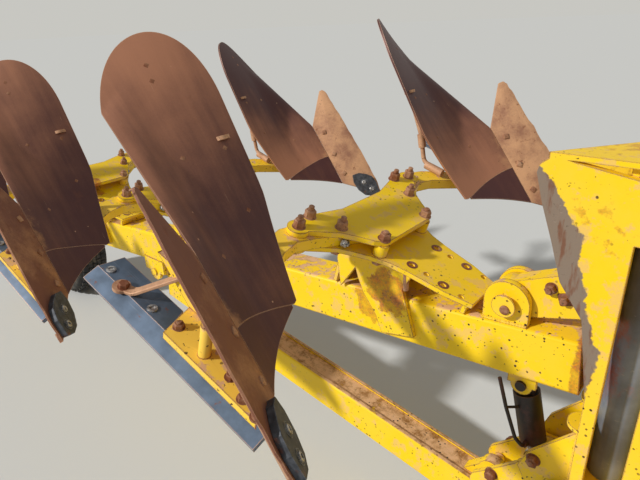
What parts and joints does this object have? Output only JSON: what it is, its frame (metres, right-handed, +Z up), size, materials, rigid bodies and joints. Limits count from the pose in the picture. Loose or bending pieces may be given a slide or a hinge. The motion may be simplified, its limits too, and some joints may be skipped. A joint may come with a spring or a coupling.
{
  "type": "moldboard plough",
  "caption": "Mounted reversible mouldboard plough parked at the quarter turn, with a turnover headstock, swinging beam, paired bodies and a rear wheel.",
  "frame": {"origin": "on the ground, below the middle of the overall box; the middle plane of the beam and the headstock is y = 0", "axes": "+X towards the tractor, +Y to the left, +Z up"},
  "size_m": [4.1649, 1.6934, 1.619],
  "materials": {
    "frame_paint": "worn gloss yellow with chips and rust",
    "worn_steel": "rust-brown film over soil-polished steel",
    "hard_steel": "new dark forged steel",
    "dull_steel": "blue-grey dull steel",
    "cylinder_paint": "scuffed dark paint",
    "rod_chrome": "polished",
    "tyre": "matt"
  },
  "bodies": {
    "headstock": {"headstock": "frame_paint", "mast": "frame_paint", "link_shaft": "dull_steel"},
    "turning_head": {"turning_head": "frame_paint", "offset_rod": "rod_chrome"},
    "yoke": {"yoke": "frame_paint", "offset_barrel": "cylinder_paint"},
    "frame": {"beam": "frame_paint", "swing_pin": "dull_steel", "shins": "worn_steel", "points": "hard_steel", "landsides": "dull_steel", "head_1": "frame_paint", "legs_1": "frame_paint", "frogs_1": "frame_paint", "mouldboards_1": "worn_steel", "shares_1": "worn_steel", "head_2": "frame_paint", "legs_2": "frame_paint", "frogs_2": "frame_paint", "mouldboards_2": "worn_steel", "shares_2": "worn_steel", "head_3": "frame_paint", "legs_3": "frame_paint", "frogs_3": "frame_paint", "mouldboards_3": "worn_steel", "shares_3": "worn_steel"},
    "stay": {"stay": "frame_paint"},
    "lever": {"lever": "frame_paint"},
    "swing_barrel": {"swing_barrel": "cylinder_paint"},
    "swing_rod": {"swing_rod": "rod_chrome"},
    "turn_barrel": {"turn_barrel": "cylinder_paint"},
    "turn_rod": {"turn_rod": "rod_chrome"},
    "wheel_arm": {"wheel_arm": "frame_paint"},
    "wheel": {"wheel_rim": "frame_paint", "tyre": "tyre"},
    "stand_left": {"stand_left": "frame_paint"},
    "stand_right": {"stand_right": "frame_paint"}
  },
  "joints": [
    {"name": "turnover", "type": "hinge", "parent": "headstock", "child": "turning_head", "pos_m": [1.6425, 0, 0.88], "axis": [1, 0, 0], "range_deg": [-90, 90]},
    {"name": "offset_slide", "type": "slide", "parent": "turning_head", "child": "yoke", "axis": [0, 0, 1], "range_m": [-0.08, 0.08]},
    {"name": "frame_swing", "type": "hinge", "parent": "yoke", "child": "frame", "pos_m": [1.1725, 0, 0.918], "axis": [0, 1, 0], "range_deg": [-12, 3]},
    {"name": "stay_swing", "type": "hinge", "parent": "frame", "child": "stay", "pos_m": [-0.5775, 0, 0.492], "axis": [0, 1, 0], "range_deg": [-1.5, 5]},
    {"name": "lever_swing", "type": "hinge", "parent": "yoke", "child": "lever", "pos_m": [1.3975, 0, 0.41], "axis": [0, 1, 0], "range_deg": [-42, 11]},
    {"name": "swing_barrel_hinge", "type": "hinge", "parent": "frame", "child": "swing_barrel", "pos_m": [1.2325, 0, 0.658], "axis": [0, 1, 0], "range_deg": [-9, 23]},
    {"name": "swing_rod_slide", "type": "slide", "parent": "swing_barrel", "child": "swing_rod", "axis": [0.2295, 0, -0.9733], "range_m": [-0.024, 0.087]},
    {"name": "turn_barrel_hinge", "type": "hinge", "parent": "headstock", "child": "turn_barrel", "pos_m": [1.8975, 0, 1.44], "axis": [1, 0, 0], "range_deg": [-17.5, 17.5]},
    {"name": "turn_rod_slide", "type": "slide", "parent": "turn_barrel", "child": "turn_rod", "axis": [0, 0, -1], "range_m": [0, 0.1955]},
    {"name": "wheel_arm_hinge", "type": "hinge", "parent": "frame", "child": "wheel_arm", "pos_m": [-1.3475, 0, 0.55556], "axis": [0, 1, 0], "range_deg": [0, 40]},
    {"name": "wheel_spin", "type": "hinge", "parent": "wheel_arm", "child": "wheel", "pos_m": [-1.7525, 0, 0.33], "axis": [0, 1, 0], "continuous": true},
    {"name": "stand_left_slide", "type": "slide", "parent": "headstock", "child": "stand_left", "axis": [0, 0, 1], "range_m": [0, 0.4]},
    {"name": "stand_right_slide", "type": "slide", "parent": "headstock", "child": "stand_right", "axis": [0, 0, 1], "range_m": [0, 0.4]}
  ],
  "couplings": [
    {"joint": "stay_swing", "follows": "frame_swing", "ratio": -0.3792},
    {"joint": "lever_swing", "follows": "frame_swing", "ratio": 3.4472},
    {"joint": "swing_barrel_hinge", "follows": "frame_swing", "ratio": -1.8421},
    {"joint": "swing_rod_slide", "follows": "frame_swing", "m_per_rad": -0.398},
    {"joint": "turn_barrel_hinge", "follows": "turnover", "ratio": -0.1877}
  ]
}
